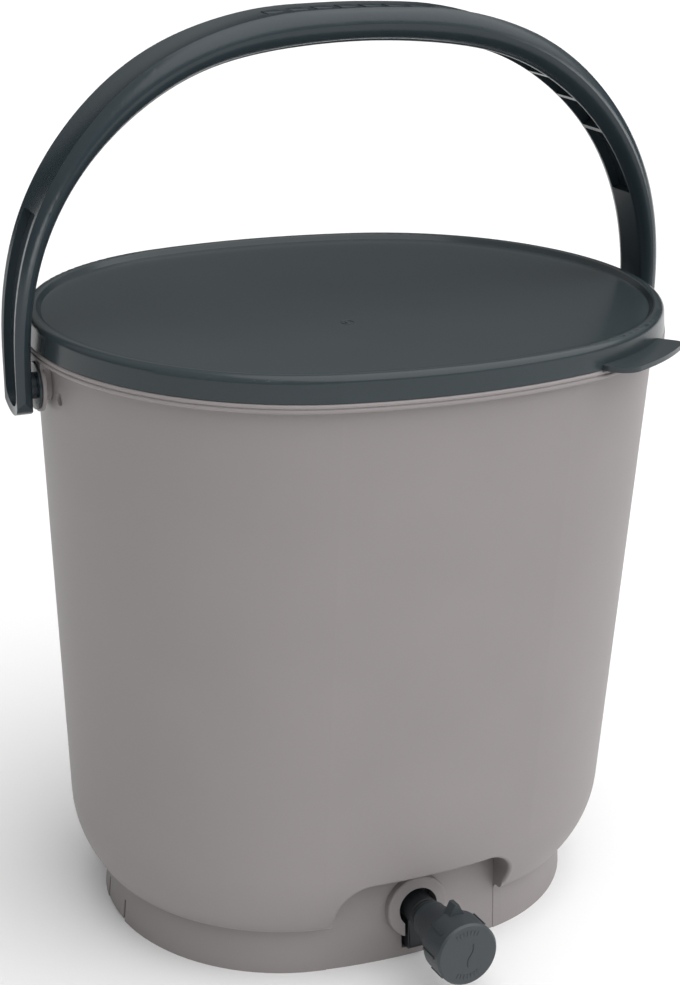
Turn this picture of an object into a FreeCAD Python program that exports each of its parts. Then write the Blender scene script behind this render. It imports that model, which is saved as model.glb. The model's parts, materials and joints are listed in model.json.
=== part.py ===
import FreeCAD, Part
import math
import os

# Oval bokashi bin: a drafted tub with a lid, a carrying handle, a strainer plate and a drain tap.
# Millimetres. Z is up, the tap looks along -Y and the handle swings about X.
# The origin is the centre of the oval on the surface that the bin stands on.

# Plan: an oval of four tangent arcs at the lid's edge. Offsets are counted outward from it.
plan_half_length = 159.0
plan_half_depth = 129.0
plan_front_radius = 288.0

# Tub
rim_height = 306.7
wall = 2.6
wall_top_inset = 4.6
wall_draft = 2.6
belly_height = 60.5
belly_radius = 58.7
belly_edge_height = 29.0
belly_edge_sagitta = 1.2
foot_height = 24.5
foot_round = 3.0
foot_inset = 32.4
foot_draft = 5.0
floor_underside = 13.0
floor_thickness = 3.0
lip_height = 5.9
rim_flange_depth = 4.2
rim_flange_reach = 0.4
rim_flange_edge = 0.7
rim_groove = 0.6

# Recess round the tap, cut into the belly down to the foot's own surface. Its sides keep a gap to the
# lines where the foot's front arc meets its end arcs.
recess_side_gap = 5.2
recess_height = 55.0
recess_corner_radius = 16.0
recess_round = 1.6
panel_setback = 0.3

# Socket that takes the tap, square to the leaning panel
boss_radius = 16.5
boss_depth = 4.0
boss_round = 1.2
socket_radius = 10.5
socket_depth = 8.0
socket_wall = 2.5
notch_half_width = 7.5
notch_drop = 23.0

# Springy tongue between two slits in the left end of the foot
slit_half_spacing = 12.0
slit_width = 1.6
slit_height = 12.2
tongue_lift = 1.2

# Handle pivots on the tub
pivot_drop = 16.7
pad_radius = 7.5
pad_reach = 0.4
pad_disc_radius = 12.2
pad_disc = 1.6
pin_radius = 4.5
pin_running_gap = 0.08
pin_socket_skin = 1.4
pin_end_gap = 0.5
dimple_radius = 3.0
dimple_spacing = 15.6
dimple_drop = 3.0
dimple_depth = 1.4

# Lid
lid_seat_gap = 0.3
lid_height = 12.0
lid_skirt = 2.2
lid_lean = 0.8
lid_shoulder_radius = 3.6
lid_bead_width = 6.3
lid_bead_slope = 2.0
lid_bead_round = 0.8
lid_bead_wall = 3.4
lid_panel_drop = 2.7
lid_panel = 2.2
lid_plug_gap = 0.6
lid_inner_skirt = 2.2
tab_reach = 12.6
tab_thickness = 2.4
tab_direction = -60.0
tab_half_angle = 13.0
tab_corner_front = 11.5
tab_corner_side = 4.0
seal_gap = 0.3
seal_side_gap = 0.4

# Handle: a three-centred arch on two straight legs. Its section has a trough between two lips on the
# outside and a ridge on its front and back, which is a crease at the legs and round at the grip.
handle_leg_gap = 4.0
handle_leg = 8.0
handle_rise = 137.8
handle_grip = 15.6
handle_shoulder_outside = 30.0
handle_shoulder_inside = 35.0
handle_crown_outside = 510.0
handle_crown_inside = 350.0
lip_half_width_foot = 11.0
lip_half_width_grip = 13.5
ridge_half_width_foot = 12.3
ridge_half_width_grip = 18.0
edge_half_width_foot = 9.5
edge_half_width_grip = 10.5
ridge_depth_share = 0.45
ridge_bulge_foot = 0.25
trough_depth = 0.9
lip_round = 0.7
edge_round = 1.6
foot_end_radius = 12.9
foot_channel_lip = 2.4
foot_channel_depth = 4.0
foot_channel_length = 81.0
pocket_angles = (22.8, 40.5, 50.9, 60.3, 76.6)
pocket_rib = 2.4
pocket_depth = 4.5
pocket_edge = 2.2
stub_radius = 6.2
collar_radius = 11.2
collar_thickness = 1.0
collar_gap = 0.4

# Strainer plate
strainer_roof_gap = 3.4
strainer_thickness = 2.6
strainer_edge_gap = 1.2
strainer_rim = 5.0
drain_hole_radius = 3.5
drain_hole_pitch = 25.0
drain_field_inset = 34.0
leg_radius = 5.0
leg_spacing_x = 74.0
leg_spacing_y = 44.0
leg_floor_gap = 0.3

# Tap, measured along its own axis from the panel, outward positive
barrel_radius = 8.0
barrel_reach = 16.5
bore_radius = 6.0
tap_flange_gap = 0.7
tap_flange = 2.0
gasket = 1.6
tail_radius = 6.0
tail_gap = 0.15
tail_reach = 9.0
inlet_radius = 3.4
spout_half_width = 6.0
spout_depth = 8.0
spout_front = 4.5
spout_floor_gap = 1.5
spout_wall = 1.6
nut_flats = 16.5
nut_height = 6.0
nut_collar_radius = 9.8
nut_collar = 1.6
nut_floor_gap = 0.55
knob_radius = 16.0
knob_reach = 55.5
knob_grip = 15.0
knob_neck_radius = 9.4
knob_neck = 3.0
knob_gap = 0.4
knob_edge = 1.0
rib_count = 8
rib_width = 1.1
rib_height = 0.6
rib_length = 10.5
lug_height = 5.0
lug_half_width = 5.2
lug_depth = 6.0
lug_overlap = 4.0
rotor_gap = 0.08
port_radius = 2.2
port_place = 0.5
ring_section = 0.9
ring_gap = 0.1
ring_side_gap = 0.05
ring_land = 0.5
ring_front = 9.5

X = FreeCAD.Vector(1, 0, 0)
Y = FreeCAD.Vector(0, 1, 0)
Z = FreeCAD.Vector(0, 0, 1)
ORIGIN = FreeCAD.Vector(0, 0, 0)
overshoot = 5.0

# The oval's other radius and its arc centres follow from the arcs being tangent.
plan_end_radius = (
    2 * plan_half_depth * plan_front_radius - plan_half_length ** 2 - plan_half_depth ** 2
) / (2 * (plan_front_radius - plan_half_length))
end_centre = plan_half_length - plan_end_radius
front_centre = plan_front_radius - plan_half_depth
meeting_angle = math.degrees(math.atan2(front_centre, end_centre))
plan_arcs = [
    (FreeCAD.Vector(end_centre, 0, 0), plan_end_radius, -meeting_angle, meeting_angle),
    (FreeCAD.Vector(0, -front_centre, 0), plan_front_radius, meeting_angle, 180 - meeting_angle),
    (FreeCAD.Vector(-end_centre, 0, 0), plan_end_radius, 180 - meeting_angle, 180 + meeting_angle),
    (FreeCAD.Vector(0, front_centre, 0), plan_front_radius, 180 + meeting_angle, 360 - meeting_angle),
]
core_offset = -0.7 * plan_end_radius
foot_front_half = end_centre + (plan_end_radius - foot_inset) * math.cos(math.radians(meeting_angle))
recess_half_width = foot_front_half - recess_side_gap

# Heights and offsets that several pieces share
draft_slope = math.tan(math.radians(wall_draft))
foot_slope = math.tan(math.radians(foot_draft))
floor_top = floor_underside + floor_thickness
lip_top = rim_height + lip_height
lid_bottom = rim_height + lid_seat_gap
lid_top = lid_bottom + lid_height
lid_panel_top = lid_top - lid_panel_drop
seal_bottom = lip_top + seal_gap
lid_channel_roof = lid_top - lid_bead_wall
lid_channel_inner = -wall_top_inset - wall - lid_plug_gap
pad_face = plan_half_length - pad_reach
pivot_height = rim_height - pivot_drop
handle_half_span = plan_half_length + handle_leg_gap + handle_leg
handle_top = lid_top + handle_rise
foot_channel_top = pivot_height + foot_channel_length
strainer_height = recess_height + wall + strainer_roof_gap
nut_seat = socket_depth + socket_wall
nut_tilt = (nut_seat + nut_collar) * math.sin(math.radians(foot_draft))
tap_height = floor_top + nut_floor_gap + nut_collar_radius + nut_tilt
tap_flange_radius = socket_radius - tap_flange_gap
spout_drop = notch_drop - spout_floor_gap
ring_groove_width = 2 * (ring_section + ring_side_gap)
ring_rear = port_place - port_radius - ring_land - ring_groove_width / 2
rotor_depth = ring_groove_width / 2 + ring_land - ring_rear


def wall_offset(height):
    return -wall_top_inset - (rim_height - height) * draft_slope


def foot_offset(height):
    return -foot_inset - height * foot_slope


def panel_offset(height):
    return foot_offset(height) - panel_setback


def outline(start, runs):
    """Closed wire in the XZ plane: each run is an end point, or a middle and an end point of an arc."""
    edges = []
    here = FreeCAD.Vector(start[0], 0, start[1])
    for run in list(runs) + [start]:
        arc = isinstance(run[0], tuple)
        end = run[1] if arc else run
        there = FreeCAD.Vector(end[0], 0, end[1])
        if arc:
            middle = FreeCAD.Vector(run[0][0], 0, run[0][1])
            edges.append(Part.Arc(here, middle, there).toShape())
        else:
            edges.append(Part.LineSegment(here, there).toShape())
        here = there
    return Part.Wire(edges)


def join(solids):
    return solids[0].multiFuse(solids[1:]).removeSplitter()


def oval_ring(start, runs):
    """Sweeps an outline of (offset, height) points round the oval."""
    section = outline(start, runs)
    sectors = []
    for centre, radius, first, last in plan_arcs:
        face = Part.Face(section.copy())
        face.translate(FreeCAD.Vector(radius, 0, 0))
        sector = face.revolve(ORIGIN, Z, last - first)
        sector.rotate(ORIGIN, Z, first)
        sector.translate(centre)
        sectors.append(sector)
    return join(sectors)


def oval_plate(offset, low, high):
    edges = [
        Part.makeCircle(radius + offset, centre + Z * low, Z, first, last)
        for centre, radius, first, last in plan_arcs
    ]
    return Part.Face(Part.Wire(edges)).extrude(Z * (high - low))


def oval_solid(low, high, runs):
    """Fills the oval inside an outer outline that runs from the low to the high end."""
    ring = oval_ring((core_offset, low), list(runs) + [(core_offset, high)])
    return join([ring, oval_plate(core_offset + overshoot, low, high)])


def tapered_oval(low_offset, low, high_offset, high):
    return oval_solid(low, high, [(low_offset, low), (high_offset, high)])


def arc_middle(first, last, sagitta):
    """Middle point of a shallow arc that bulges to the right of its chord."""
    run, rise = last[0] - first[0], last[1] - first[1]
    length = math.hypot(run, rise)
    return (
        (first[0] + last[0]) / 2 + sagitta * rise / length,
        (first[1] + last[1]) / 2 - sagitta * run / length,
    )


def belly_point(radius, height):
    """Offset of the belly's arc at a height, for the outer radius or the inner one."""
    lean = math.radians(wall_draft)
    centre_offset = wall_offset(belly_height) - belly_radius * math.cos(lean)
    centre_height = belly_height + belly_radius * math.sin(lean)
    return centre_offset + math.sqrt(radius ** 2 - (height - centre_height) ** 2), height


def inside_offset(height):
    """Offset of the tub's inner wall above or inside the belly."""
    inner_radius = belly_radius - wall
    if height < belly_height:
        return belly_point(inner_radius, height)[0]
    low = belly_point(inner_radius, belly_height)[0]
    high = -wall_top_inset - wall
    return low + (high - low) * (height - belly_height) / (lip_top - belly_height)


def tub_outside():
    belly_start = (wall_offset(belly_height), belly_height)
    belly_end = belly_point(belly_radius, belly_edge_height)
    belly_middle = belly_point(belly_radius, (belly_height + belly_edge_height) / 2)
    foot_bottom = FreeCAD.Vector(foot_offset(0), 0, 0)
    foot_top = FreeCAD.Vector(foot_offset(foot_height), foot_height, 0)
    belly_low = FreeCAD.Vector(belly_end[0], belly_end[1], 0)
    corner = rounded_corner(foot_bottom, foot_top, belly_low, foot_round)
    round_start, round_middle, round_end = [(point.x, point.y) for point in corner]
    flange_low = rim_height - rim_flange_depth
    flange_middle = rim_height - rim_flange_depth / 2
    crest = rim_flange_reach
    return oval_solid(0, lip_top, [
        (foot_offset(0), 0),
        round_start,
        (round_middle, round_end),
        (arc_middle(round_end, belly_end, belly_edge_sagitta), belly_end),
        (belly_middle, belly_start),
        (wall_offset(flange_low), flange_low),
        (crest - rim_flange_edge, flange_low),
        (crest, flange_low + rim_flange_edge),
        (crest, flange_middle - rim_groove),
        (crest - rim_groove, flange_middle),
        (crest, flange_middle + rim_groove),
        (crest, rim_height - rim_flange_edge),
        (crest - rim_flange_edge, rim_height),
        (-wall_top_inset, rim_height),
        (-wall_top_inset, lip_top),
    ])


def tub_inside():
    inner_radius = belly_radius - wall
    belly_start = belly_point(inner_radius, belly_height)
    knee_height = belly_edge_height + 2.5 * wall
    knee = belly_point(inner_radius, knee_height)
    belly_middle = belly_point(inner_radius, (belly_height + knee_height) / 2)
    return oval_solid(floor_top, lip_top + overshoot, [
        (foot_offset(foot_height) - 1.2 * wall, floor_top),
        (foot_offset(foot_height) - 1.2 * wall, foot_height),
        knee,
        (belly_middle, belly_start),
        (-wall_top_inset - wall, lip_top),
        (-wall_top_inset - wall, lip_top + overshoot),
    ])


def recess_space(grow):
    """Space in front of the tap's panel, grown by a wall's thickness for the inner side."""
    half = recess_half_width + grow
    top = recess_height + grow
    corner = recess_corner_radius + grow
    reach = plan_half_depth + overshoot
    diagonal = corner * (1 - math.sqrt(0.5))
    arch = outline((-half, -overshoot), [
        (half, -overshoot),
        (half, top - corner),
        ((half - diagonal, top - diagonal), (half - corner, top)),
        (corner - half, top),
        ((diagonal - half, top - diagonal), (-half, top - corner)),
    ])
    block = Part.Face(arch).extrude(-Y * reach)
    low, high = -2 * overshoot, recess_height + 4 * overshoot
    core = tapered_oval(panel_offset(low) - grow, low, panel_offset(high) - grow, high)
    return block.cut(core)


def recess_mouth(shell):
    """Edges where the recess leaves the belly."""
    edges = []
    for edge in shell.Edges:
        middle = edge.valueAt((edge.FirstParameter + edge.LastParameter) / 2)
        proud = middle.y < -plan_half_depth - panel_offset(middle.z)
        beside = abs(middle.x) < recess_half_width + wall
        above = belly_edge_height < middle.z < recess_height + wall
        curved = edge.Curve.TypeId != "Part::GeomLine"
        if proud and beside and above and curved:
            edges.append(edge)
    return edges


def at_tap(shape):
    """Moves a piece built along -Y onto the tap's axis, square to the leaning panel."""
    shape.rotate(ORIGIN, X, -foot_draft)
    shape.translate(FreeCAD.Vector(0, -plan_half_depth - panel_offset(tap_height), tap_height))
    return shape


def along_tap(radius, first, last):
    """Round bar on the tap's axis between two distances from the panel."""
    return Part.makeCylinder(radius, last - first, -Y * first, -Y)


def block(x_low, x_high, y_low, y_high, z_low, z_high):
    corner = FreeCAD.Vector(x_low, y_low, z_low)
    return Part.makeBox(x_high - x_low, y_high - y_low, z_high - z_low, corner)


def keyhole(grow, first, last):
    """Round hole with a notch below it for the spout."""
    half = notch_half_width + grow
    slot = block(-half, half, -last, -first, -notch_drop - grow, 0)
    return along_tap(socket_radius + grow, first, last).fuse(slot)


def pivot_pad(side):
    """Raised pad under the rim, with a disc on its face, that carries one end of the handle."""
    back = plan_half_length + wall_offset(pivot_height) - 0.5 * wall
    length = pad_face - back
    round_end = Part.makeCylinder(pad_radius, length, FreeCAD.Vector(back, 0, pivot_height), X)
    top = rim_height - rim_flange_depth / 2
    upper = block(back, pad_face, -pad_radius, pad_radius, pivot_height, top)
    disc_back = FreeCAD.Vector(pad_face - pad_disc, 0, pivot_height)
    disc = Part.makeCylinder(pad_disc_radius, pad_disc, disc_back, X)
    pad = join([round_end, upper, disc])
    return pad if side > 0 else pad.mirror(ORIGIN, X)


def pin_socket_floor():
    return plan_half_length + wall_offset(pivot_height) - wall + pin_socket_skin


def pivot_cuts(side):
    """Blind socket for the handle's pin and the two dimples beside the pad."""
    low = pin_socket_floor()
    hole = Part.makeCylinder(
        pin_radius + pin_running_gap, pad_face + overshoot - low, FreeCAD.Vector(low, 0, pivot_height), X
    )
    cuts = [hole]
    for edge in (-1, 1):
        centre_y = edge * dimple_spacing
        sag = centre_y ** 2 / (2 * plan_end_radius)
        surface = plan_half_length + wall_offset(pivot_height - dimple_drop) - sag
        start = FreeCAD.Vector(surface - dimple_depth, centre_y, pivot_height - dimple_drop)
        cuts.append(Part.makeCylinder(dimple_radius, dimple_depth + overshoot, start, X))
    shape = Part.makeCompound(cuts)
    return shape if side > 0 else shape.mirror(ORIGIN, X)


def foot_slits():
    """Two slits and the raised lower edge of the tongue between them, at the left end of the foot."""
    low = -plan_half_length
    high = -plan_half_length - foot_offset(foot_height) + 3 * wall
    cuts = [block(low, high, -slit_half_spacing, slit_half_spacing, -overshoot, tongue_lift)]
    for edge in (-1, 1):
        near = edge * slit_half_spacing - slit_width / 2
        cuts.append(block(low, high, near, near + slit_width, -overshoot, slit_height))
    return Part.makeCompound(cuts)


def make_bucket():
    shell = tub_outside().cut(recess_space(0))
    shell = shell.makeFillet(recess_round, recess_mouth(shell))
    shell = shell.cut(tub_inside().cut(recess_space(wall)))
    shell = shell.cut(oval_plate(foot_offset(floor_underside) - wall, -overshoot, floor_underside))
    cup = at_tap(keyhole(socket_wall, -nut_seat, -0.5 * wall))
    boss = along_tap(boss_radius, -0.5 * wall, boss_depth)
    front = min(boss.Edges, key=lambda edge: edge.CenterOfMass.y)
    boss = at_tap(boss.makeFillet(boss_round, [front]))
    shell = join([shell, cup, boss, pivot_pad(1), pivot_pad(-1)])
    shell = shell.cut(at_tap(keyhole(0, -socket_depth, boss_depth + overshoot)))
    shell = shell.cut(at_tap(along_tap(tail_radius + tail_gap, -nut_seat - overshoot, 0)))
    return shell.cut([pivot_cuts(1), pivot_cuts(-1), foot_slits()])


def tab_outline():
    """Pull tab on the lid's front right corner, seen from above."""
    centre = FreeCAD.Vector(end_centre, 0, lid_bottom)
    first, last = tab_direction - tab_half_angle, tab_direction + tab_half_angle
    inner_radius = plan_end_radius - lid_skirt
    outer_radius = plan_end_radius + tab_reach
    inner = Part.makeCircle(inner_radius, centre, Z, first, last)
    outer = Part.makeCircle(outer_radius, centre, Z, first, last)
    sides = [
        Part.makeLine(inner.Vertexes[end].Point, outer.Vertexes[end].Point)
        for end in (0, 1)
    ]
    return Part.Wire([inner, sides[1], outer, sides[0]])


def lid_tab():
    tab = Part.Face(tab_outline()).extrude(Z * tab_thickness)
    reach = plan_end_radius + 0.5 * tab_reach
    for radius, corner in ((tab_corner_front, min), (tab_corner_side, max)):
        edges = [
            edge for edge in tab.Edges
            if abs(edge.tangentAt(edge.FirstParameter).z) > 0.9
            and math.hypot(edge.CenterOfMass.x - end_centre, edge.CenterOfMass.y) > reach
        ]
        tab = tab.makeFillet(radius, [corner(edges, key=lambda edge: edge.CenterOfMass.x)])
    return tab


def make_lid():
    shoulder = lid_shoulder_radius
    lean = -lid_lean
    turn = shoulder * (1 - math.sqrt(0.5))
    bead_top = FreeCAD.Vector(lean - shoulder, lid_top, 0)
    bead_edge = FreeCAD.Vector(-lid_bead_width, lid_top, 0)
    bead_foot = FreeCAD.Vector(-lid_bead_width - lid_bead_slope, lid_panel_top, 0)
    edge_arc = rounded_corner(bead_top, bead_edge, bead_foot, lid_bead_round)
    start, middle, end = [(point.x, point.y) for point in edge_arc]
    body = oval_solid(lid_bottom, lid_panel_top, [
        (0, lid_bottom),
        (lean, lid_top - shoulder),
        ((lean - turn, lid_top - turn), (bead_top.x, lid_top)),
        start,
        (middle, end),
        (bead_foot.x, lid_panel_top),
    ])
    channel_outer = -lid_skirt
    channel = oval_ring((channel_outer, lid_bottom - overshoot), [
        (channel_outer, lid_channel_roof),
        (lid_channel_inner, lid_channel_roof),
        (lid_channel_inner, lid_bottom - overshoot),
    ])
    hollow = oval_plate(
        lid_channel_inner - lid_inner_skirt, lid_bottom - overshoot, lid_panel_top - lid_panel
    )
    return join([body, lid_tab()]).cut([channel, hollow])


def make_lid_seal():
    outer = -lid_skirt - seal_side_gap
    inner = lid_channel_inner + seal_side_gap
    return oval_ring((outer, seal_bottom), [
        (outer, lid_channel_roof),
        (inner, lid_channel_roof),
        (inner, seal_bottom),
    ])


def handle_arch(inset):
    """Half span, top, shoulder radius and crown radius of the arch at an inset from the outer outline."""
    return (
        handle_half_span - inset,
        handle_top - inset,
        handle_half_span - handle_shoulder_outside - inset,
        handle_crown_outside - inset,
    )


def inner_arch():
    half_span = handle_half_span - handle_leg
    return half_span, handle_top - handle_grip, half_span - handle_shoulder_inside, handle_crown_inside


def shoulder_centre(arch):
    half_span, top, shoulder, crown = arch
    across = half_span - shoulder
    return FreeCAD.Vector(across, 0, top - crown + math.sqrt((crown - shoulder) ** 2 - across ** 2))


def arch_points(arch):
    """Points down the right half of an arch: crown, shoulder and leg."""
    half_span, top, shoulder, crown = arch
    centre = shoulder_centre(arch)
    crown_centre = Z * (top - crown)
    turn = math.atan2(centre.z - crown_centre.z, centre.x)
    points = []
    for share in (1.0, 0.5):
        angle = turn + share * (math.pi / 2 - turn)
        points.append(crown_centre + (X * math.cos(angle) + Z * math.sin(angle)) * crown)
    for share in (1.0, 0.75, 0.5, 0.25, 0.0):
        angle = share * turn
        points.append(centre + (X * math.cos(angle) + Z * math.sin(angle)) * shoulder)
    low = pivot_height - foot_end_radius - overshoot
    for share in (0.5, 1.0):
        points.append(FreeCAD.Vector(half_span, 0, centre.z + share * (low - centre.z)))
    return points


def swell(height):
    """Share of the way from the foot's section to the grip's at a height."""
    share = (height - pivot_height) / (handle_top - pivot_height)
    return 1 - (1 - min(max(share, 0.0), 1.0)) ** 2


def between(first, last, share):
    return first + (last - first) * share


def rounded_corner(before, corner, after, size):
    """Start, middle and end of the arc that rounds a corner."""
    start = corner + (before - corner).normalize() * size
    end = corner + (after - corner).normalize() * size
    return start, (start + end) * 0.25 + corner * 0.5, end


def bulged(start, end, bulge):
    """Middle of a bulged flank; a bulge of one makes it run straight along the depth at the ridge."""
    run = end - start
    lean = math.atan2(abs(run.x), abs(run.y))
    out = FreeCAD.Vector(run.y, -run.x, 0).normalize()
    return (start + end) * 0.5 - out * (bulge * run.Length / 2 * math.tan(lean / 2))


def handle_profile(thickness, share):
    """Section of the handle as arcs: x is across it, y is the depth from its outside."""
    lip = between(lip_half_width_foot, lip_half_width_grip, share)
    ridge = between(ridge_half_width_foot, ridge_half_width_grip, share)
    edge = between(edge_half_width_foot, edge_half_width_grip, share)
    bulge = between(ridge_bulge_foot, 1.0, share)
    trough = FreeCAD.Vector(0, trough_depth, 0)
    lip_corner = FreeCAD.Vector(-lip, 0, 0)
    ridge_point = FreeCAD.Vector(-ridge, ridge_depth_share * thickness, 0)
    edge_corner = FreeCAD.Vector(-edge, thickness, 0)
    inside = FreeCAD.Vector(0, thickness, 0)
    lip_arc = rounded_corner(FreeCAD.Vector(0, 0, 0), lip_corner, ridge_point, lip_round)
    edge_arc = rounded_corner(ridge_point, edge_corner, inside, edge_round)
    flank = bulged(lip_arc[2], ridge_point, bulge)
    under = bulged(ridge_point, edge_arc[0], bulge)
    front = [lip_arc, (lip_arc[2], flank, ridge_point), (ridge_point, under, edge_arc[0]), edge_arc]
    back = [
        tuple(FreeCAD.Vector(-point.x, point.y, 0) for point in reversed(arc)) for arc in reversed(front)
    ]
    return front + [(edge_arc[2], inside, back[0][0])] + back + [(back[-1][2], trough, lip_arc[0])]


def handle_section(outer, inner):
    """Wire across the handle between a point of its outer outline and one of its inner outline."""
    depth = inner - outer
    edges = []
    for arc in handle_profile(depth.Length, swell(outer.z)):
        first, middle, last = [
            outer + Y * point.x + depth * (point.y / depth.Length) for point in arc
        ]
        if abs((middle - first).cross(last - middle).Length) < 1e-6:
            edges.append(Part.makeLine(first, last))
        else:
            edges.append(Part.Arc(first, middle, last).toShape())
    return Part.Wire(edges)


def handle_bar():
    """Sections lofted from one foot over the grip to the other, with each foot rounded about the pivot."""
    right = list(zip(arch_points(handle_arch(0)), arch_points(inner_arch())))
    left = [tuple(FreeCAD.Vector(-point.x, 0, point.z) for point in pair) for pair in right]
    stations = left[:0:-1] + right
    bar = Part.makeLoft([handle_section(outer, inner) for outer, inner in stations], True)
    reach = handle_half_span + overshoot
    below = block(-reach, reach, -reach, reach, 0, pivot_height)
    turned = Part.makeCylinder(foot_end_radius, 2 * reach, FreeCAD.Vector(-reach, 0, pivot_height), X)
    return bar.cut(below.cut(turned))


def arch_prism(arch, half_width):
    """Arch outline extruded through the handle's width, down to the standing surface."""
    half_span = arch[0]
    points = [(point.x, point.z) for point in arch_points(arch)]
    left = [(-x, z) for x, z in points]
    wire = outline((-half_span, 0), [
        left[6],
        (left[4], left[2]),
        (points[0], points[2]),
        (points[4], points[6]),
        (half_span, 0),
    ])
    return Part.Face(wire).extrude(Y * 2 * half_width).translated(-Y * half_width)


def foot_channels():
    """Open channel in the outer face of each leg, round at the foot."""
    half = lip_half_width_foot - foot_channel_lip
    length = 2 * (handle_half_span + overshoot)
    low = FreeCAD.Vector(-length / 2, 0, pivot_height)
    slot = Part.makeCylinder(half, length, low, X)
    slot = slot.fuse(block(-length / 2, length / 2, -half, half, pivot_height, foot_channel_top))
    return slot.cut(arch_prism(handle_arch(foot_channel_depth), 2 * ridge_half_width_grip))


def handle_pockets():
    """Pockets in the inner face of each shoulder, with a rib between neighbours."""
    radius = inner_arch()[2]
    centre = shoulder_centre(inner_arch())
    rib_angle = math.degrees(pocket_rib / radius)
    pockets = []
    for first, last in zip(pocket_angles, pocket_angles[1:]):
        middle = math.radians((first + last) / 2)
        share = swell(centre.z + radius * math.sin(middle))
        half = between(edge_half_width_foot, edge_half_width_grip, share) - pocket_edge
        corners = [(radius - overshoot, -half), (radius + pocket_depth, -half)]
        corners += [(reach, -side) for reach, side in reversed(corners)]
        wire = Part.makePolygon([FreeCAD.Vector(reach, side, 0) for reach, side in corners + corners[:1]])
        pocket = Part.Face(wire).revolve(ORIGIN, -Y, last - first - rib_angle)
        pocket.rotate(ORIGIN, -Y, first)
        pocket.translate(centre)
        pockets.append(pocket)
        pockets.append(pocket.mirror(ORIGIN, X))
    return pockets


def handle_pin(side):
    """Stub, collar and pin that turn in the tub's socket."""
    leg_face = handle_half_span - handle_leg
    collar_inner = pad_face + collar_gap
    collar_outer = collar_inner + collar_thickness
    pin_end = pin_socket_floor() + pin_end_gap
    bars = [
        (stub_radius, collar_inner, leg_face + 0.5 * handle_leg - 0.5 * foot_channel_depth),
        (collar_radius, collar_inner, collar_outer),
        (pin_radius, pin_end, collar_outer),
    ]
    solids = [
        Part.makeCylinder(radius, last - first, FreeCAD.Vector(first, 0, pivot_height), X)
        for radius, first, last in bars
    ]
    pin = join(solids)
    return pin if side > 0 else pin.mirror(ORIGIN, X)


def make_handle():
    bar = handle_bar().cut([foot_channels()] + handle_pockets())
    return join([bar, handle_pin(1), handle_pin(-1)])


def drain_holes():
    """Holes on a staggered grid, kept inside the plate's edge and off the legs."""
    half_length = plan_half_length - drain_field_inset
    half_depth = plan_half_depth - drain_field_inset
    row_step = drain_hole_pitch * math.sqrt(0.75)
    leg_room = leg_radius + 1.6 * drain_hole_radius
    length = strainer_thickness + 2 * overshoot
    holes = []
    rows = int(half_depth / row_step)
    columns = int(half_length / drain_hole_pitch) + 1
    for row in range(-rows, rows + 1):
        shift = 0.5 * (row % 2)
        for column in range(-columns, columns + 1):
            x = (column + shift) * drain_hole_pitch
            y = row * row_step
            inside = (x / half_length) ** 2 + (y / half_depth) ** 2 < 1
            leg_distance = math.hypot(abs(x) - leg_spacing_x, abs(y) - leg_spacing_y)
            if inside and leg_distance > leg_room:
                start = FreeCAD.Vector(x, y, strainer_height - overshoot)
                holes.append(Part.makeCylinder(drain_hole_radius, length, start, Z))
    return holes


def make_strainer_plate():
    edge = inside_offset(strainer_height) - strainer_edge_gap
    top = strainer_height + strainer_thickness
    plate = oval_plate(edge, strainer_height, top)
    rim = oval_ring((edge, strainer_height), [
        (edge + strainer_rim * draft_slope, top + strainer_rim),
        (edge - wall, top + strainer_rim),
        (edge - wall, strainer_height),
    ])
    legs = []
    leg_low = floor_top + leg_floor_gap
    length = strainer_height - leg_low + 0.5 * strainer_thickness
    for x in (-1, 1):
        for y in (-1, 1):
            start = FreeCAD.Vector(x * leg_spacing_x, y * leg_spacing_y, leg_low)
            legs.append(Part.makeCylinder(leg_radius, length, start, Z))
    return join([plate.cut(drain_holes()), rim] + legs)


def make_tap_body():
    flange_inner = gasket - socket_depth
    flange_outer = flange_inner + tap_flange
    solid = join([
        along_tap(barrel_radius, flange_inner, barrel_reach),
        along_tap(tap_flange_radius, flange_inner, flange_outer),
        along_tap(tail_radius, -socket_depth - tail_reach, flange_inner),
        spout_duct(spout_half_width, 0, spout_drop),
    ])
    rotor_end = -rotor_depth - knob_gap
    return at_tap(solid.cut([
        along_tap(bore_radius, rotor_end, barrel_reach + overshoot),
        along_tap(inlet_radius, -socket_depth - tail_reach - overshoot, rotor_end),
        spout_duct(spout_half_width - spout_wall, spout_wall, spout_drop + overshoot),
    ]))


def spout_duct(half_width, inset, drop):
    front = -spout_front + inset
    return block(-half_width, half_width, front, front + spout_depth - 2 * inset, -drop, 0)


def make_tap_gasket():
    ring = along_tap(tap_flange_radius, -socket_depth, gasket - socket_depth)
    return at_tap(ring.cut(along_tap(tail_radius + tail_gap, -socket_depth - 1, gasket)))


def make_tap_nut():
    face = -nut_seat
    corners = []
    for number in range(7):
        turn = math.radians(60 * number)
        corner = X * math.cos(turn) + Z * math.sin(turn)
        corners.append(corner * (nut_flats / math.sqrt(3)) - Y * face)
    nut = Part.Face(Part.makePolygon(corners)).extrude(Y * nut_height)
    washer = along_tap(nut_collar_radius, face - nut_collar, face)
    hole = along_tap(tail_radius + tail_gap, face - nut_height - 1, face + 1)
    return at_tap(nut.fuse(washer).removeSplitter().cut(hole))


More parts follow.
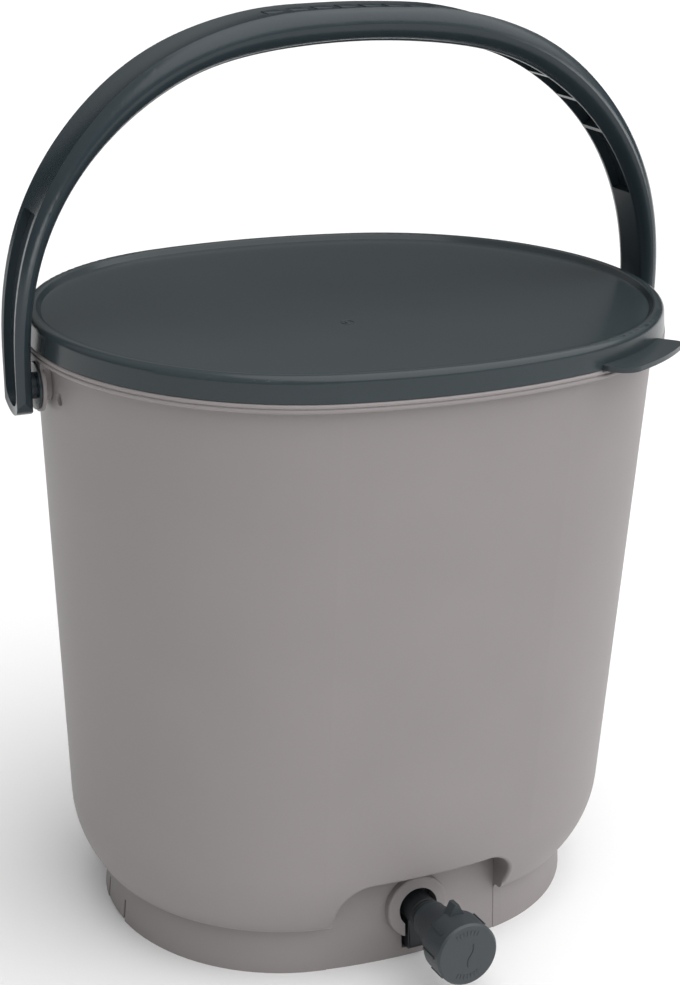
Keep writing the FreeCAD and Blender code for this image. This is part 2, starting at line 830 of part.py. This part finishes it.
def knob_body():
    """Turned shape: neck, flare and grip with a chamfered face."""
    back = barrel_reach + knob_gap
    flare = back + knob_neck
    grip = knob_reach - knob_grip
    rise = knob_radius - knob_neck_radius
    wire = outline((0, back), [
        (knob_neck_radius, back),
        (knob_neck_radius, flare),
        (
            (knob_neck_radius + 0.42 * rise, (flare + grip) / 2),
            (knob_radius, grip),
        ),
        (knob_radius, knob_reach - knob_edge),
        (knob_radius - knob_edge, knob_reach),
        (0, knob_reach),
    ])
    knob = Part.Face(wire).revolve(ORIGIN, Z, 360)
    knob.rotate(ORIGIN, X, 90)
    return knob


def knob_ribs():
    ribs = []
    for number in range(1, rib_count):
        rib = block(
            -rib_width / 2,
            rib_width / 2,
            knob_grip - knob_reach - rib_length,
            knob_grip - knob_reach,
            knob_radius - rib_height,
            knob_radius + rib_height,
        )
        rib.rotate(ORIGIN, Y, 360.0 * number / rib_count)
        ribs.append(rib)
    return ribs


def knob_lug():
    """Pointed lug over the back of the grip, which shows where the knob stands."""
    base = 0.8 * knob_radius
    front = knob_grip - knob_reach - lug_overlap
    tip = knob_radius + lug_height
    half, point = lug_half_width, 0.2 * lug_half_width
    wire = outline((-half, base), [(half, base), (point, tip), (-point, tip)])
    return Part.Face(wire).translated(Y * front).extrude(Y * lug_depth)


def make_tap_knob():
    rotor_radius = bore_radius - rotor_gap
    rotor = along_tap(rotor_radius, -rotor_depth, barrel_reach + knob_gap)
    solid = join([knob_body(), rotor, knob_lug()] + knob_ribs())
    groove_floor = bore_radius - ring_gap - 2 * ring_section - 0.05
    cuts = [
        along_tap(port_radius, -rotor_depth - 1, port_place),
        Part.makeCylinder(port_radius, 2 * bore_radius, -Y * port_place, Z),
    ]
    for place in (ring_front, ring_rear):
        first, last = place - ring_groove_width / 2, place + ring_groove_width / 2
        cuts.append(along_tap(bore_radius, first, last).cut(along_tap(groove_floor, first, last)))
    return at_tap(solid.cut(cuts))


def make_tap_o_rings():
    centre_radius = bore_radius - ring_gap - ring_section
    rings = [
        Part.makeTorus(centre_radius, ring_section, -Y * place, Y)
        for place in (ring_front, ring_rear)
    ]
    return at_tap(Part.makeCompound(rings))


pieces = {
    "bucket": make_bucket,
    "lid": make_lid,
    "lid_seal": make_lid_seal,
    "handle": make_handle,
    "strainer_plate": make_strainer_plate,
    "tap_body": make_tap_body,
    "tap_gasket": make_tap_gasket,
    "tap_nut": make_tap_nut,
    "tap_knob": make_tap_knob,
    "tap_o_rings": make_tap_o_rings,
}

os.makedirs("parts", exist_ok=True)
for name, make in pieces.items():
    shape = make()
    shape.exportStep("parts/%s.step" % name)
    print(name, len(shape.Solids), "solids, valid", shape.isValid(), "volume", round(shape.Volume))
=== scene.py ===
"""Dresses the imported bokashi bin: moulded plastic finishes, small moulded marks, light and camera."""
import json
import math

import bmesh
import bpy
from mathutils import Matrix, Vector


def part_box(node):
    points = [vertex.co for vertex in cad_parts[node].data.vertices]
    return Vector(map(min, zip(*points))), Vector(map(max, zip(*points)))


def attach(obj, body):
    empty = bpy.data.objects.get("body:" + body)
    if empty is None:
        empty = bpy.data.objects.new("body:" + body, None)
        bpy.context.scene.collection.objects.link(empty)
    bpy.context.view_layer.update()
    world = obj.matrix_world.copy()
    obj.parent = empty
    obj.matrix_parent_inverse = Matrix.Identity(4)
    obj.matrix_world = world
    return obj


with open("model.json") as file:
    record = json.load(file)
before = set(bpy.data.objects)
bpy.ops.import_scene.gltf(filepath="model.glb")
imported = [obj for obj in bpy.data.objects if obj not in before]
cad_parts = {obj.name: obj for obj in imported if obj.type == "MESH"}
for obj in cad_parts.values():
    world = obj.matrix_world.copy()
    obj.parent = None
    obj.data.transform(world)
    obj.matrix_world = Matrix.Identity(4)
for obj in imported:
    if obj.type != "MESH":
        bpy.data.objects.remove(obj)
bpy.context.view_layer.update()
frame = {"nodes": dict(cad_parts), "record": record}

bl_info = {
    "name": "Bokashi bin",
    "version": (1, 0, 0),
    "blender": (4, 5, 0),
    "location": "View3D > Sidebar > Bokashi bin",
    "description": "Finishes, moulded marks and a studio for an oval bokashi bin",
    "category": "Object",
}

MM = 0.001

ORIGIN = (0, 0, 0)
ABOUT_Y = (0, 1, 0)
ABOUT_Z = (0, 0, 1)
QUARTER_TURN = math.pi / 2
HALF_TURN = math.pi
FULL_TURN = 2 * math.pi

# The photograph's camera, found by fitting the outlines of lid, tub, foot and handle together
IMAGE_HEIGHT = 985
FOCAL_PIXELS = 1864.63
SENSOR = 36.0
CLIP_START = 0.01
CAMERA_PLACE = Vector((-0.383183, -0.799527, 0.552009))
CAMERA_FORWARD = Vector((0.40181, 0.84395, -0.35539))
CAMERA_UP = Vector((0.13026, 0.33147, 0.93443))

# The studio: a wide soft box high in front on the right, and two low strips beside the camera
FLOOR_HALF_WIDTH = 20.0
SOFT_BOX_FROM = Vector((0.34, -0.42, 0.84))
SOFT_BOX_ANGLE = math.radians(90)
SOFT_BOX_STRENGTH = 2.9
STRIP_HEIGHT = 0.4
STRIP_LEFT = {"place": Vector((-1.1, -1.15, 0.4)), "width": 0.8, "power": 5.5}
STRIP_RIGHT = {"place": Vector((1.3, -0.93, 0.4)), "width": 0.9, "power": 7.0}
# Brightness of the surroundings by how steeply one looks up: 0 is level and 1 straight up
SKY = ((0.21, 0.0), (0.31, 0.3), (0.85, 0.6))
WHITE = (1.0, 1.0, 1.0, 1.0)

# What all the mouldings' finishes share. The IOR is that of polypropylene; rubber is near it.
MOULDING_IOR = 1.49
CLOUD_MM = 60.0
CLOUD_DETAIL = 2.0
CLOUD_DARK = 0.3
CLOUD_LIGHT = 0.7
GRAIN_DETAIL = 3.0
GRAIN_STRENGTH = 0.6
SHEEN_SPREAD = 0.1

# How the new meshes are made: merged points, creases, sides of a bead and steps of a ring
MERGE = 0.001 * MM
CREASE = math.radians(40)
BEAD_SIDES = 10
RING_STEPS = 48

# Grip: dashes in a trough along the crown. A depth or softness counts in rises of the mark.
CROWN_RADIUS = 510.0 * MM
TROUGH_DEPTH = 0.9 * MM
GRIP_DASHES = 8
DASH_DEPTH = 4.0
DASH_SOFTNESS = 0.4

# Tap: its axis comes from the frame; the knob's face, the spout and the rings are measured along it
TAP = next(joint for joint in frame["record"]["behaviour"]["joints"] if joint["name"] == "tap_turn")
KNOB_FACE = 55.5 * MM
TICK_ARC = 1.0
TICK_STEPS = 6
TICK_DEPTH = 2.0
TICK_SOFTNESS = 0.3
CURL_ARC = math.radians(55)
CURL_STEPS = 10
CURL_LEAN = -0.72
CURL_PLACE = (1.4 * MM, -0.7 * MM, 0)
CURL_MERGE = 0.01 * MM
SPOUT_FACE = 4.5 * MM
SPOUT_DROP = 14.6 * MM
SPOUT_WIDTH = 11.4 * MM
SPOUT_HEIGHT = 13.0 * MM
SPOUT_SOFTNESS = 0.2
BARREL_RADIUS = 8.0 * MM
BARREL_RINGS = (11.4 * MM, 13.8 * MM)

# Lid: the gate mark is a thin ring round a fuller one, in shares of its radius
LID_PANEL_DROP = 2.7 * MM
GATE_PLACE = Vector((-18.8, -37.7)) * MM
GATE_RIM_WIDTH = 0.2
GATE_PIP = 0.3


def linear(code):
    """Turns an sRGB hex colour into the linear colour that shaders take."""
    values = [int(code[place:place + 2], 16) / 255 for place in (1, 3, 5)]
    return [v / 12.92 if v < 0.04045 else ((v + 0.055) / 1.055) ** 2.4 for v in values] + [1.0]


def colour(name, code, about):
    """A colour that a user may change."""
    return bpy.props.FloatVectorProperty(
        name=name, description=about, subtype="COLOR", size=4, min=0, max=1, default=linear(code)
    )


def length(name, millimetres, about):
    """A length that a user may change."""
    return bpy.props.FloatProperty(
        name=name, description=about, unit="LENGTH", min=0, precision=5, default=millimetres * MM
    )


class BinSizes(bpy.types.PropertyGroup):
    """Sizes of the small moulded marks."""

    dash_length: length("Dash length", 7.6, "Length of a grip dash along the handle")
    dash_width: length("Dash width", 9.0, "Width of a grip dash across the handle")
    dash_rise: length("Dash rise", 0.5, "Height of a grip dash above the trough")
    dash_pitch: length("Dash pitch", 12.2, "Distance from one grip dash to the next")
    tick_length: length("Tick length", 2.4, "Length of a tick on the knob's face")
    tick_width: length("Tick width", 0.9, "Width of a tick on the knob's face")
    tick_circle: length("Tick circle", 11.4, "Distance of the ticks' middles from the knob's axis")
    mark_rise: length("Mark rise", 0.2, "Height of the marks above the knob's face")
    curl_radius: length("Curl radius", 6.4, "Radius of the two arcs of the curl on the knob's face")
    curl_width: length("Curl width", 1.1, "Width of the curl's bead")
    spout_rim: length("Spout rim", 0.8, "Width of the raised rim round the spout's front")
    barrel_ring: length("Barrel ring", 0.7, "Width of each ring on the tap's barrel")
    gate_radius: length("Gate radius", 3.0, "Radius of the gate mark on the lid")


class BinColours(bpy.types.PropertyGroup):
    """Colours of the bin's mouldings, its rubber and the floor."""

    tub: colour("Tub", "#8D8787", "Warm grey of the tub")
    lid: colour("Lid", "#343C3F", "Slate grey of the lid")
    handle: colour("Handle", "#2C363B", "Darker slate of the handle")
    tap: colour("Tap", "#1E2326", "Near black of the tap's body and nut")
    knob: colour("Knob", "#373D41", "Slate grey of the tap's knob")
    strainer: colour("Strainer", "#3C4245", "Slate grey of the strainer plate")
    rubber: colour("Rubber", "#151515", "Black of the seals")
    floor: colour("Floor", "#F4F4F4", "Pale studio floor")


def add(tree, kind, settings=None, **links):
    """Adds a shader node, gives its settings and sockets their values and links its inputs."""
    node = tree.nodes.new(kind)
    for name, value in (settings or {}).items():
        if hasattr(node, name):
            setattr(node, name, value)
        else:
            node.inputs[name].default_value = value
    for name, source in links.items():
        tree.links.new(source, node.inputs[name.replace("_", " ")])
    return node


def moulded(name, base, roughness, grain_mm, depth_mm, tone, gloss=0.5):
    """A moulded surface: even colour with a faint cloudiness and the fine grain of an eroded mould.

    The real grain is about 0.1 mm wide and would not show, so grain_mm draws it several times as
    coarse. The clouds darken and lighten the colour by the share tone.
    """
    material = bpy.data.materials.new(name)
    material.use_nodes = True
    tree = material.node_tree
    tree.nodes.clear()
    place = add(tree, "ShaderNodeTexCoord").outputs["Object"]
    cloud_look = {"Scale": 1 / (CLOUD_MM * MM), "Detail": CLOUD_DETAIL}
    cloud = add(tree, "ShaderNodeTexNoise", cloud_look, Vector=place).outputs["Fac"]
    grain_look = {"Scale": 1 / (grain_mm * MM), "Detail": GRAIN_DETAIL}
    grain = add(tree, "ShaderNodeTexNoise", grain_look, Vector=place).outputs["Fac"]
    ramp = add(tree, "ShaderNodeValToRGB", {}, Fac=cloud)
    shades = ((CLOUD_DARK, 1 - tone), (CLOUD_LIGHT, 1 + tone))
    for stop, (level, shade) in zip(ramp.color_ramp.elements, shades):
        stop.position = level
        stop.color = [min(1.0, channel * shade) for channel in base[:3]] + [1.0]
    sheen_range = {
        "To Min": (1 - SHEEN_SPREAD) * roughness,
        "To Max": (1 + SHEEN_SPREAD) * roughness,
    }
    sheen = add(tree, "ShaderNodeMapRange", sheen_range, Value=grain)
    relief = {"Strength": GRAIN_STRENGTH, "Distance": depth_mm * MM}
    bump = add(tree, "ShaderNodeBump", relief, Height=grain)
    shader = add(
        tree, "ShaderNodeBsdfPrincipled", {"IOR": MOULDING_IOR, "Specular IOR Level": gloss},
        Base_Color=ramp.outputs["Color"], Roughness=sheen.outputs["Result"],
        Normal=bump.outputs["Normal"],
    )
    add(tree, "ShaderNodeOutputMaterial", {}, Surface=shader.outputs["BSDF"])
    return material


def dress(node_name, material):
    """Gives a CAD node its finished material."""
    for slot in frame["nodes"][node_name].material_slots:
        slot.material = material


def finish_of(node_name):
    """Finds the material that a CAD node is dressed in."""
    return frame["nodes"][node_name].material_slots[0].material


def settle(shape, name, material, body, place):
    """Closes a bmesh, puts it in its place and lets it ride on a body."""
    bmesh.ops.transform(shape, matrix=place, verts=shape.verts)
    bmesh.ops.remove_doubles(shape, verts=shape.verts, dist=MERGE)
    bmesh.ops.recalc_face_normals(shape, faces=shape.faces)
    mesh = bpy.data.meshes.new(name)
    shape.to_mesh(mesh)
    shape.free()
    mesh.shade_smooth()
    mesh.set_sharp_from_angle(angle=CREASE)
    mesh.materials.append(material)
    piece = bpy.data.objects.new(name, mesh)
    bpy.context.scene.collection.objects.link(piece)
    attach(piece, body)


def on_tap(reach):
    """Place on the tap's axis: x to the right, y up the knob's face and z out along the axis."""
    out = Vector(TAP["axis"]).normalized()
    right = Vector((1, 0, 0))
    turn = Matrix((right, out.cross(right), out)).transposed().to_4x4()
    return Matrix.Translation(Vector(TAP["pos_m"]) + out * reach) @ turn


def soften(shape, offset):
    """Rounds every edge of a bmesh."""
    bmesh.ops.bevel(
        shape, geom=shape.edges[:], offset=offset, offset_type="OFFSET", affect="EDGES",
        segments=2, profile=0.5, material=-1,
    )


def bar(shape, size, softness):
    """Puts a bar with softened edges round the origin of an empty bmesh."""
    bmesh.ops.create_cube(shape, size=1.0, matrix=Matrix.Diagonal(Vector(size)).to_4x4())
    soften(shape, softness)


def repeat(shape, axis, angle, steps):
    """Repeats everything in a bmesh round the origin."""
    bmesh.ops.spin(
        shape, geom=shape.verts[:] + shape.edges[:] + shape.faces[:], cent=ORIGIN, axis=axis,
        angle=angle, steps=steps, use_duplicate=True,
    )


def ring(shape, radius, width, height):
    """Adds a round bead that runs about the z axis."""
    turn = Matrix.Translation((radius, 0, height)) @ Matrix.Rotation(QUARTER_TURN, 4, "X")
    made = bmesh.ops.create_circle(shape, segments=BEAD_SIDES, radius=width / 2, matrix=turn)
    edges = dict.fromkeys(edge for vert in made["verts"] for edge in vert.link_edges)
    bmesh.ops.spin(
        shape, geom=made["verts"] + list(edges), cent=ORIGIN, axis=ABOUT_Z, angle=FULL_TURN,
        steps=RING_STEPS, use_merge=True,
    )


class BIN_OT_tub(bpy.types.Operator):
    """Finishes the tub."""

    bl_idname = "bin.tub"
    bl_label = "Tub"

    def execute(self, context):
        # Satin moulded polypropylene: soft broad highlights on an even warm grey
        plastic = moulded(
            "polypropylene_moulded_warm_grey", context.scene.bin_colours.tub,
            roughness=0.5, grain_mm=0.9, depth_mm=0.02, tone=0.02,
        )
        dress("bucket", plastic)
        return {"FINISHED"}


class BIN_OT_lid(bpy.types.Operator):
    """Finishes the lid and all the rubber rings."""

    bl_idname = "bin.lid"
    bl_label = "Lid"

    def execute(self, context):
        colours = context.scene.bin_colours
        # Satin moulded polypropylene: a dark even slate, light where it mirrors the sky at a low angle
        plastic = moulded(
            "polypropylene_moulded_slate", colours.lid,
            roughness=0.22, grain_mm=0.9, depth_mm=0.006, tone=0.04, gloss=0.3,
        )
        dress("lid", plastic)
        # Moulded nitrile rubber: black and dull, with hardly any highlight
        rubber = moulded(
            "rubber_moulded_black", colours.rubber,
            roughness=0.6, grain_mm=1.2, depth_mm=0.02, tone=0.1,
        )
        for name in ("lid_seal", "tap_gasket", "tap_o_rings"):
            dress(name, rubber)
        return {"FINISHED"}


class BIN_OT_handle(bpy.types.Operator):
    """Finishes the handle."""

    bl_idname = "bin.handle"
    bl_label = "Handle"

    def execute(self, context):
        # Polypropylene from a smoother mould: soft streaks of light along the lips and rounded flanks
        plastic = moulded(
            "polypropylene_moulded_dark_slate", context.scene.bin_colours.handle,
            roughness=0.26, grain_mm=1.2, depth_mm=0.0012, tone=0.05, gloss=0.35,
        )
        dress("handle", plastic)
        return {"FINISHED"}


class BIN_OT_tap(bpy.types.Operator):
    """Finishes the tap and the strainer plate."""

    bl_idname = "bin.tap"
    bl_label = "Tap"

    def execute(self, context):
        colours = context.scene.bin_colours
        # Polypropylene moulded nearly black: dark with narrow highlights along the barrel
        body = moulded(
            "polypropylene_moulded_black", colours.tap,
            roughness=0.42, grain_mm=0.8, depth_mm=0.015, tone=0.05,
        )
        dress("tap_body", body)
        dress("tap_nut", body)
        # Satin moulded polypropylene: the flat face is an even slate, the ribbed side darker
        knob = moulded(
            "polypropylene_moulded_slate_knob", colours.knob,
            roughness=0.46, grain_mm=0.8, depth_mm=0.02, tone=0.05,
        )
        dress("tap_knob", knob)
        # Satin moulded polypropylene: slate as the lid, with softer highlights
        plate = moulded(
            "polypropylene_moulded_slate_plate", colours.strainer,
            roughness=0.5, grain_mm=0.9, depth_mm=0.02, tone=0.04,
        )
        dress("strainer_plate", plate)
        return {"FINISHED"}


class BIN_OT_grip_dashes(bpy.types.Operator):
    """Adds a row of plain raised dashes in the trough along the top of the grip."""

    bl_idname = "bin.grip_dashes"
    bl_label = "Grip dashes"

    def execute(self, context):
        sizes = context.scene.bin_sizes
        rise = sizes.dash_rise
        shape = bmesh.new()
        bar(shape, (sizes.dash_length, sizes.dash_width, DASH_DEPTH * rise), DASH_SOFTNESS * rise)
        trough = CROWN_RADIUS - TROUGH_DEPTH
        middle = trough + rise - DASH_DEPTH * rise / 2
        bmesh.ops.translate(shape, vec=(0, 0, middle), verts=shape.verts)
        row = (GRIP_DASHES - 1) * sizes.dash_pitch / trough
        start = Matrix.Rotation(-row / 2, 3, "Y")
        bmesh.ops.rotate(shape, cent=ORIGIN, matrix=start, verts=shape.verts)
        repeat(shape, ABOUT_Y, row, GRIP_DASHES - 1)
        crown = Matrix.Translation((0, 0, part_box("handle")[1][2] - CROWN_RADIUS))
        settle(shape, "grip_dashes", finish_of("handle"), "handle", crown)
        return {"FINISHED"}


class BIN_OT_knob_marks(bpy.types.Operator):
    """Adds plain ticks to the knob's face, and a curled line drawn in near black as painted shade for
    an engraved groove.
    """

    bl_idname = "bin.knob_marks"
    bl_label = "Knob marks"

    def execute(self, context):
        sizes = context.scene.bin_sizes
        rise = sizes.mark_rise
        ticks = bmesh.new()
        bar(ticks, (sizes.tick_width, sizes.tick_length, TICK_DEPTH * rise), TICK_SOFTNESS * rise)
        bmesh.ops.translate(ticks, vec=(0, sizes.tick_circle, 0), verts=ticks.verts)
        start = Matrix.Rotation(-TICK_ARC / 2, 3, "Z")
        bmesh.ops.rotate(ticks, cent=ORIGIN, matrix=start, verts=ticks.verts)
        repeat(ticks, ABOUT_Z, TICK_ARC, TICK_STEPS)
        repeat(ticks, ABOUT_Z, HALF_TURN, 1)
        face = on_tap(KNOB_FACE)
        settle(ticks, "knob_ticks", finish_of("tap_knob"), "knob", face)

        # The curl is two arcs of a bead, the second one the first after half a turn. Its near-black
        # colour is painted shade: it stands for the shade in an engraved groove on the knob's face.
        curl = bmesh.new()
        made = bmesh.ops.create_circle(curl, segments=BEAD_SIDES, radius=sizes.curl_width / 2)
        upright = Matrix.Rotation(QUARTER_TURN, 3, "X")
        bmesh.ops.rotate(curl, cent=ORIGIN, matrix=upright, verts=curl.verts)
        bmesh.ops.spin(
            curl, geom=made["verts"] + curl.edges[:], cent=(-sizes.curl_radius, 0, 0),
            axis=ABOUT_Z, angle=CURL_ARC, steps=CURL_STEPS,
        )
        repeat(curl, ABOUT_Z, HALF_TURN, 1)
        bmesh.ops.remove_doubles(curl, verts=curl.verts, dist=CURL_MERGE)
        bmesh.ops.holes_fill(curl, edges=[edge for edge in curl.edges if edge.is_boundary])
        lean = Matrix.Translation(CURL_PLACE) @ Matrix.Rotation(CURL_LEAN, 4, "Z")
        sunk = on_tap(KNOB_FACE + rise - sizes.curl_width / 2)
        # Painted shade: the curl takes the tap's near-black finish to stand for the shade in an
        # engraved groove
        settle(curl, "knob_curl", finish_of("tap_body"), "knob", sunk @ lean)
        return {"FINISHED"}


class BIN_OT_tap_details(bpy.types.Operator):
    """Adds the rim round the spout's front and the rings on the tap's barrel."""

    bl_idname = "bin.tap_details"
    bl_label = "Tap details"

    def execute(self, context):
        sizes = context.scene.bin_sizes
        plastic = finish_of("tap_body")
        rim = bmesh.new()
        outline = Matrix.Diagonal((SPOUT_WIDTH, SPOUT_HEIGHT, 1.0)).to_4x4()
        front = Matrix.Translation((0, -SPOUT_DROP, 0)) @ outline
        bmesh.ops.create_grid(rim, x_segments=1, y_segments=1, size=0.5, matrix=front)
        middle = rim.faces[:]
        bmesh.ops.inset_region(
            rim, faces=middle, thickness=sizes.spout_rim, use_even_offset=True, use_boundary=True
        )
        bmesh.ops.delete(rim, geom=middle, context="FACES")
        bmesh.ops.solidify(rim, geom=rim.faces[:], thickness=sizes.spout_rim)
        soften(rim, SPOUT_SOFTNESS * sizes.spout_rim)
        settle(rim, "spout_rim", plastic, "base", on_tap(SPOUT_FACE))

        rings = bmesh.new()
        for reach in BARREL_RINGS:
            ring(rings, BARREL_RADIUS, sizes.barrel_ring, reach)
        settle(rings, "barrel_rings", plastic, "base", on_tap(0))
        return {"FINISHED"}


class BIN_OT_gate_mark(bpy.types.Operator):
    """Adds the round mark that the moulding gate leaves on the lid, in front of its middle."""

    bl_idname = "bin.gate_mark"
    bl_label = "Gate mark"

    def execute(self, context):
        radius = context.scene.bin_sizes.gate_radius
        mark = bmesh.new()
        ring(mark, radius, GATE_RIM_WIDTH * radius, 0)
        ring(mark, GATE_PIP * radius, GATE_PIP * radius, 0)
        place = GATE_PLACE.to_3d()
        place.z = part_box("lid")[1][2] - LID_PANEL_DROP
        panel = Matrix.Translation(place)
        settle(mark, "lid_gate_mark", finish_of("lid"), "lid", panel)
        return {"FINISHED"}


def studio_floor():
    """Lays the pale floor that the bin stands on."""
    mesh = bpy.data.meshes.new("floor")
    shape = bmesh.new()
    bmesh.ops.create_grid(shape, x_segments=1, y_segments=1, size=FLOOR_HALF_WIDTH)
    shape.to_mesh(mesh)
    shape.free()
    # Smooth paper: an even pale ground with no highlight
    paper = moulded(
        "paper_pale_smooth", bpy.context.scene.bin_colours.floor,
        roughness=0.9, grain_mm=30.0, depth_mm=0.0, tone=0.0,
    )
    mesh.materials.append(paper)
    floor = bpy.data.objects.new("floor", mesh)
    bpy.context.scene.collection.objects.link(floor)


def studio_world():
    """Surroundings dark at the horizon and bright overhead, before a backdrop as pale as the floor."""
    world = bpy.data.worlds.new("studio")
    world.use_nodes = True
    tree = world.node_tree
    tree.nodes.clear()
    way = add(tree, "ShaderNodeTexCoord").outputs["Generated"]
    height = add(tree, "ShaderNodeSeparateXYZ", {}, Vector=way).outputs["Z"]
    glow = add(tree, "ShaderNodeValToRGB", {}, Fac=height)
    stops = glow.color_ramp.elements
    stops.new(SKY[1][0])
    for stop, (steepness, level) in zip(stops, SKY):
        stop.position = steepness
        stop.color = (level, level, level, 1.0)
    sky = add(tree, "ShaderNodeBackground", {"Strength": 1.0}, Color=glow.outputs["Color"])
    backdrop = add(tree, "ShaderNodeBackground", {"Color": WHITE, "Strength": 1.0})
    seen = add(tree, "ShaderNodeLightPath").outputs["Is Camera Ray"]
    mix = add(tree, "ShaderNodeMixShader", {}, Fac=seen)
    tree.links.new(sky.outputs["Background"], mix.inputs[1])
    tree.links.new(backdrop.outputs["Background"], mix.inputs[2])
    add(tree, "ShaderNodeOutputWorld", {}, Surface=mix.outputs["Shader"])
    return world


def soft_box():
    """Adds the far, wide soft box that gives the bin its main light."""
    data = bpy.data.lights.new("overhead", "SUN")
    data.energy = SOFT_BOX_STRENGTH
    data.angle = SOFT_BOX_ANGLE
    light = bpy.data.objects.new("overhead", data)
    light.rotation_euler = SOFT_BOX_FROM.to_track_quat("Z", "Y").to_euler()
    bpy.context.scene.collection.objects.link(light)


def strip_light(name, place, width, power):
    """Adds a strip light that shows only in the handle's gloss, as a streak along its flanks."""
    data = bpy.data.lights.new(name, "AREA")
    data.shape = "RECTANGLE"
    data.size, data.size_y, data.energy = width, STRIP_HEIGHT, power
    light = bpy.data.objects.new(name, data)
    facing = place.to_track_quat("Z", "Y").to_matrix().to_4x4()
    light.matrix_world = Matrix.Translation(place) @ facing
    light.visible_diffuse = False
    light.visible_camera = False
    lit = bpy.data.collections.new(name)
    lit.objects.link(frame["nodes"]["handle"])
    light.light_linking.receiver_collection = lit
    bpy.context.scene.collection.objects.link(light)


def studio_camera():
    """Sets up the photograph's camera."""
    lens = bpy.data.cameras.new("camera")
    lens.sensor_width = SENSOR
    lens.lens = FOCAL_PIXELS * SENSOR / IMAGE_HEIGHT
    lens.clip_start = CLIP_START
    camera = bpy.data.objects.new("camera", lens)
    right = CAMERA_FORWARD.cross(CAMERA_UP).normalized()
    up = right.cross(CAMERA_FORWARD).normalized()
    turn = Matrix((right, up, -CAMERA_FORWARD.normalized())).transposed()
    camera.matrix_world = Matrix.Translation(CAMERA_PLACE) @ turn.to_4x4()
    bpy.context.scene.collection.objects.link(camera)
    return camera


class BIN_OT_studio(bpy.types.Operator):
    """Sets the pale floor, the soft lights and the photograph's camera."""

    bl_idname = "bin.studio"
    bl_label = "Studio"

    def execute(self, context):
        scene = context.scene
        scene.view_settings.view_transform = "Standard"
        studio_floor()
        scene.world = studio_world()
        soft_box()
        strip_light("strip_left", **STRIP_LEFT)
        strip_light("strip_right", **STRIP_RIGHT)
        scene.camera = studio_camera()
        return {"FINISHED"}


class BIN_PT_panel(bpy.types.Panel):
    """Lists the bin's operators, colours and sizes."""

    bl_label = "Bokashi bin"
    bl_idname = "BIN_PT_panel"
    bl_space_type = "VIEW_3D"
    bl_region_type = "UI"
    bl_category = "Bokashi bin"

    def draw(self, context):
        for operator in OPERATORS:
            self.layout.operator(operator.bl_idname)
        for group in (context.scene.bin_colours, context.scene.bin_sizes):
            for name in group.__annotations__:
                self.layout.prop(group, name)


OPERATORS = (
    BIN_OT_tub,
    BIN_OT_lid,
    BIN_OT_handle,
    BIN_OT_tap,
    BIN_OT_grip_dashes,
    BIN_OT_knob_marks,
    BIN_OT_tap_details,
    BIN_OT_gate_mark,
    BIN_OT_studio,
)
CLASSES = (BinColours, BinSizes) + OPERATORS + (BIN_PT_panel,)


def register():
    for item in CLASSES:
        bpy.utils.register_class(item)
    bpy.types.Scene.bin_colours = bpy.props.PointerProperty(type=BinColours)
    bpy.types.Scene.bin_sizes = bpy.props.PointerProperty(type=BinSizes)


def unregister():
    del bpy.types.Scene.bin_sizes
    del bpy.types.Scene.bin_colours
    for item in reversed(CLASSES):
        bpy.utils.unregister_class(item)


def main():
    register()
    bpy.ops.bin.tub()
    bpy.ops.bin.lid()
    bpy.ops.bin.handle()
    bpy.ops.bin.tap()
    bpy.ops.bin.grip_dashes()
    bpy.ops.bin.knob_marks()
    bpy.ops.bin.tap_details()
    bpy.ops.bin.gate_mark()
    bpy.ops.bin.studio()


if __name__ == "__main__":
    main()
